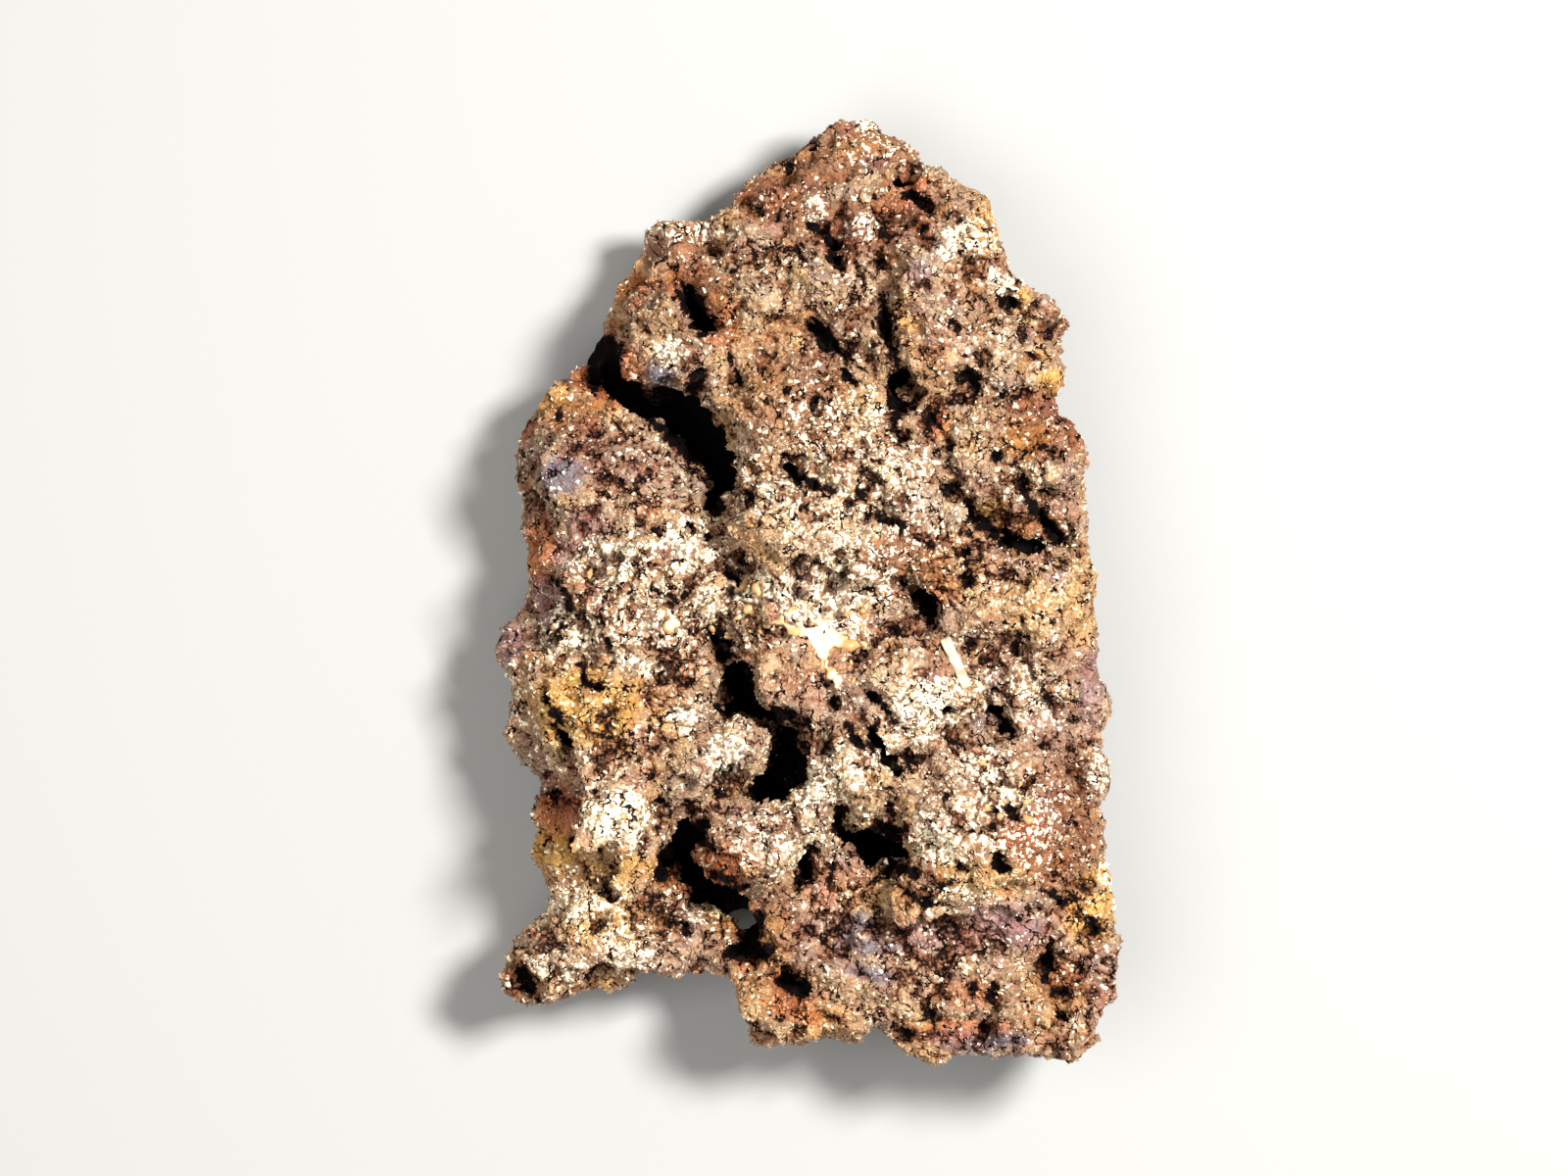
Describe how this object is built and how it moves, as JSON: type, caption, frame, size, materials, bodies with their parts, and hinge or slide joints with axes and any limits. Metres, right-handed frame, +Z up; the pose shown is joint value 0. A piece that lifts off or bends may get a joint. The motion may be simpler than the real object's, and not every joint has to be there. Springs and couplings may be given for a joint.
{
  "type": "pyrrhotite mineral specimen",
  "caption": "Spongy, granular crust of bronze-brown pyrrhotite with rounded lumps, deep pits and clefts, lying on its flattened back.",
  "frame": {"origin": "middle of the underside's bounding rectangle, on the plane that the specimen lies on", "axes": "+Z up out of the rough face that the picture shows, +Y towards the tip, +X towards the right side of that face"},
  "size_m": [0.039, 0.0594, 0.0229],
  "materials": {
    "pyrrhotite": "sintered sugary grains of bronze brown, with creamy sparkle, purple and slate tarnish, gold and rust patches and near-black pits"
  },
  "bodies": {
    "root": {"pyrrhotite_crust": "pyrrhotite"}
  },
  "joints": []
}
